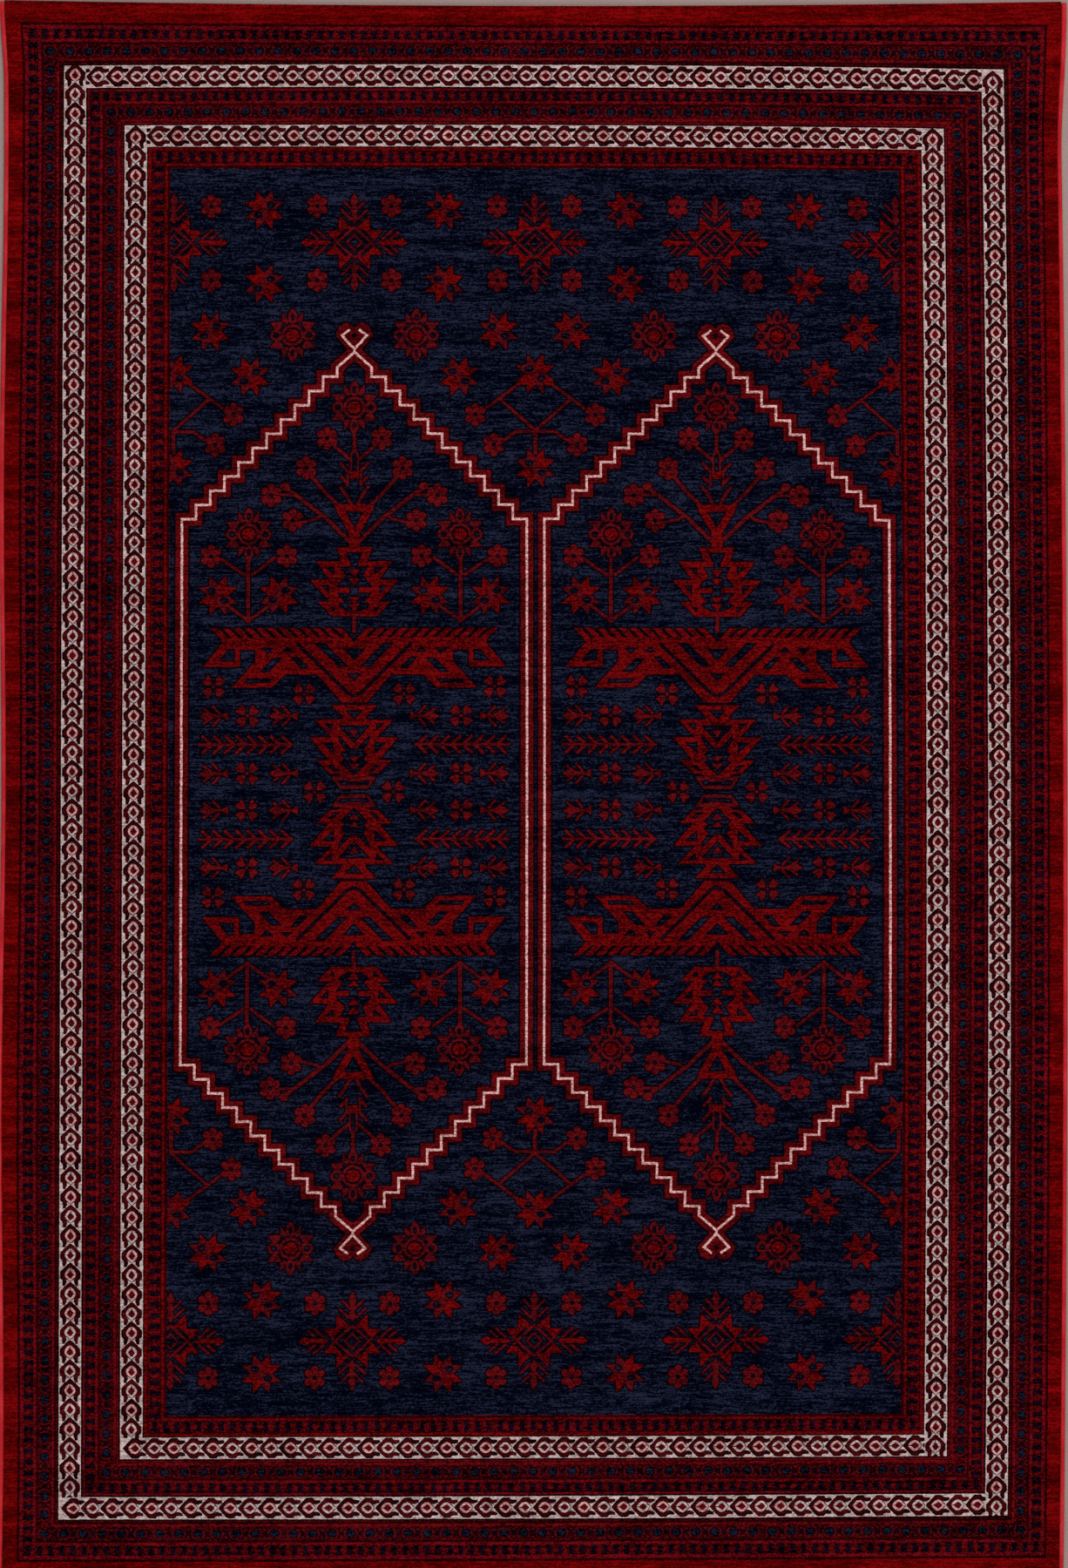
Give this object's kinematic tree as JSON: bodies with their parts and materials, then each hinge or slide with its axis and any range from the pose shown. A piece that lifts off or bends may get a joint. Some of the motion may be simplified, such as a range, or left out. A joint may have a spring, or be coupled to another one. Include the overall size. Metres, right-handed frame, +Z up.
{
  "type": "area rug",
  "caption": "Rectangular power-loomed pile rug with banded borders, stepped medallions in the field, serged sides and taped ends; lies flat on a floor to cover it.",
  "frame": {"origin": "middle of the underside, on the floor that the rug lies on", "axes": "+Z up out of the pile, +Y along the length, +X across the width"},
  "size_m": [2, 2.96, 0.011],
  "materials": {
    "pile_red": "cut pile, deep red yarn, soft matt",
    "pile_navy": "cut pile, dark navy yarn, soft matt, streaked along the weft",
    "pile_ivory": "cut pile, warm ivory yarn, soft matt",
    "serging_yarn": "bright red overcast yarn, slight sheen",
    "core_cord": "undyed twisted cord",
    "foundation": "undyed woven warps and wefts",
    "back_coat": "thin latex coat over the weave, matt",
    "hem_tape": "woven cotton tape",
    "sewing_thread": "lock-stitched thread"
  },
  "bodies": {
    "root": {"hem_seam_bottom": "sewing_thread", "hem_seam_top": "sewing_thread", "hem_tape_bottom": "hem_tape", "hem_tape_top": "hem_tape", "latex_back_coat": "back_coat", "pile_field_ground": "pile_navy", "pile_inner_guard_bottom": "pile_red", "pile_inner_guard_left": "pile_red", "pile_inner_guard_right": "pile_red", "pile_inner_guard_top": "pile_red", "pile_inner_ivory_bottom": "pile_ivory", "pile_inner_ivory_left": "pile_ivory", "pile_inner_ivory_right": "pile_ivory", "pile_inner_ivory_top": "pile_ivory", "pile_medallion_band_left": "pile_red", "pile_medallion_band_right": "pile_red", "pile_medallion_line_left": "pile_ivory", "pile_medallion_line_right": "pile_ivory", "pile_middle_guard_bottom": "pile_red", "pile_middle_guard_left": "pile_red", "pile_middle_guard_right": "pile_red", "pile_middle_guard_top": "pile_red", "pile_outer_guard_bottom": "pile_red", "pile_outer_guard_left": "pile_red", "pile_outer_guard_right": "pile_red", "pile_outer_guard_top": "pile_red", "pile_outer_ivory_bottom": "pile_ivory", "pile_outer_ivory_left": "pile_ivory", "pile_outer_ivory_right": "pile_ivory", "pile_outer_ivory_top": "pile_ivory", "pile_plain_margin_bottom": "pile_red", "pile_plain_margin_left": "pile_red", "pile_plain_margin_right": "pile_red", "pile_plain_margin_top": "pile_red", "side_core_cord_left": "core_cord", "side_core_cord_right": "core_cord", "side_serging_left": "serging_yarn", "side_serging_right": "serging_yarn", "woven_foundation": "foundation"}
  },
  "joints": []
}
